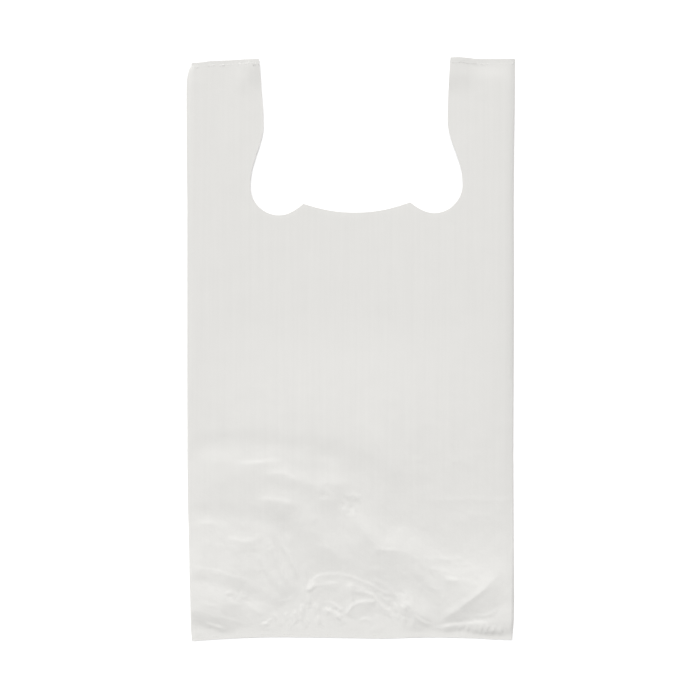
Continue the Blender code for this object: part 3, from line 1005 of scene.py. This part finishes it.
@dataclass(frozen=True)
class WeldedFilm:
    """The same film where the hot bar melted its plies together: clearer and glossier."""

    colour: str = "#f1f0ed"
    roughness: float = 0.26
    ior: float = 1.54
    grain_mm: float = 0.9
    grain_height_mm: float = 0.03

    def material(self) -> bpy.types.Material:
        """Makes the weld's material.

        Returns:
            The material, in Object coordinates.
        """
        material, tree = empty_material("welded_hdpe_film")
        place = add_node(tree, "ShaderNodeTexCoord").outputs["Object"]
        grain = add_node(tree, "ShaderNodeTexNoise", {"Vector": place, "Scale": 1 / (self.grain_mm * MM)})
        bump = add_node(tree, "ShaderNodeBump", {"Height": grain.outputs["Fac"], "Strength": 1.0,
                                                 "Distance": self.grain_height_mm * MM})
        shader = add_node(tree, "ShaderNodeBsdfPrincipled",
                          {"Base Color": linear(self.colour), "Roughness": self.roughness, "IOR": self.ior,
                           "Normal": bump.outputs["Normal"]})
        add_node(tree, "ShaderNodeOutputMaterial", {"Surface": shader.outputs[0]})
        return material


@dataclass
class Studio:
    """The pale floor, the soft light and the camera straight above."""

    view_width: float = 0.6392
    centre: tuple[float, float] = (-0.0007, -0.0008)
    lens: float = 110.0
    key_share: float = 0.5
    key_height_deg: float = 40.0
    key_towards: tuple[float, float] = (-0.32, 0.95)
    key_softness_deg: float = 45.0
    floor_colour: str = "#f4f4f4"
    floor_lift: float = 0.3
    floor_gap_mm: float = 0.05
    floor_size: float = 3.0
    key_distance: float = 2.0

    def floor(self) -> None:
        """A plain floor that reads as white to the camera and still takes the bag's shadow."""
        maker = bmesh.new()
        bmesh.ops.create_grid(maker, x_segments=1, y_segments=1, size=self.floor_size)
        mesh = bpy.data.meshes.new("floor")
        maker.to_mesh(mesh)
        maker.free()
        floor = add_object("floor", mesh)
        floor.location.z = -self.floor_gap_mm * MM
        material, tree = empty_material("white_floor")
        paint = add_node(tree, "ShaderNodeBsdfDiffuse", {"Color": linear(self.floor_colour)})
        lift = add_node(tree, "ShaderNodeMath", {0: self.seen_ray(tree), 1: self.floor_lift},
                        operation="MULTIPLY")
        light = add_node(tree, "ShaderNodeEmission", {"Color": (1, 1, 1, 1), "Strength": lift.outputs[0]})
        both = add_node(tree, "ShaderNodeAddShader", {0: paint.outputs[0], 1: light.outputs[0]})
        add_node(tree, "ShaderNodeOutputMaterial", {"Surface": both.outputs[0]})
        mesh.materials.append(material)

    def seen_ray(self, tree: bpy.types.NodeTree) -> bpy.types.NodeSocket:
        """Tells the rays that the camera sees, straight or in a gloss or through a piece.

        Args:
            tree: the node tree that asks.

        Returns:
            A socket with 1 for such a ray and 0 for the others.
        """
        path = add_node(tree, "ShaderNodeLightPath").outputs
        seen = path["Is Camera Ray"]
        for ray in ("Is Glossy Ray", "Is Transmission Ray"):
            either = add_node(tree, "ShaderNodeMath", {0: seen, 1: path[ray]}, operation="MAXIMUM")
            seen = either.outputs[0]
        return seen

    def world(self) -> None:
        """Even light from all round, and white behind everything."""
        world = bpy.data.worlds.new("studio")
        bpy.context.scene.world = world
        world.use_nodes = True
        tree = world.node_tree
        tree.nodes.clear()
        fill = add_node(tree, "ShaderNodeBackground",
                        {"Color": (1, 1, 1, 1), "Strength": 1 - self.key_share})
        white = add_node(tree, "ShaderNodeBackground", {"Color": (1, 1, 1, 1), "Strength": 1.0})
        mixed = add_node(tree, "ShaderNodeMixShader", {0: self.seen_ray(tree), 1: fill.outputs[0],
                                                       2: white.outputs[0]})
        add_node(tree, "ShaderNodeOutputWorld", {"Surface": mixed.outputs[0]})

    def key_light(self) -> None:
        """One large soft light from the upper left, even over the whole bag."""
        height = math.radians(self.key_height_deg)
        light = bpy.data.lights.new("key_light", "SUN")
        light.angle = math.radians(self.key_softness_deg)
        light.energy = self.key_share * math.pi / math.sin(height)
        lamp = add_object("key_light", light)
        flat = Vector((*self.key_towards, 0)).normalized() * math.cos(height)
        towards = Vector((flat.x, flat.y, math.sin(height)))
        lamp.rotation_euler = towards.to_track_quat("Z", "Y").to_euler()
        lamp.location = towards * self.key_distance

    def camera(self) -> None:
        """Looks straight down, with the handles at the top of the picture."""
        data = bpy.data.cameras.new("camera")
        data.lens = self.lens
        camera = add_object("camera", data)
        camera.location = (*self.centre, self.view_width * self.lens / data.sensor_width)
        bpy.context.scene.camera = camera

    def build(self) -> None:
        """Sets up the whole stage."""
        self.floor()
        self.world()
        self.key_light()
        self.camera()
        bpy.context.scene.view_settings.view_transform = "Standard"


def main() -> None:
    logging.basicConfig(level=logging.INFO, format="%(message)s")
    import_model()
    low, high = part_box(CAD_NODE)
    Studio().build()
    film, weld = BlownFilm().material(), WeldedFilm().material()
    maker = FilmBag(width=round((high.x - low.x) / MM), length=round((high.y - low.y) / MM))
    bag = maker.build()
    bag.data.materials.clear()
    bag.data.materials.append(film)
    start, end = 2 - maker.width / 2, maker.width / 2 - 2
    bottom = SealRibs("bottom_ribs", maker, weld, along=2.9, spans=((start, end),),
                      rib=(0.9, 3.0, 0.10), seed=4).build()
    tops = SealRibs("handle_ribs", maker, weld, along=maker.length - 4.6,
                    spans=((start, start + LEFT_WELD), (end - RIGHT_WELD, end)),
                    rib=(1.1, 5.2, 0.24), seed=8, sunk=0.45).build()
    for piece in (bag, bottom, tops):
        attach(piece, BODY)
    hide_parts(CAD_NODE)


if __name__ == "__main__":
    main()
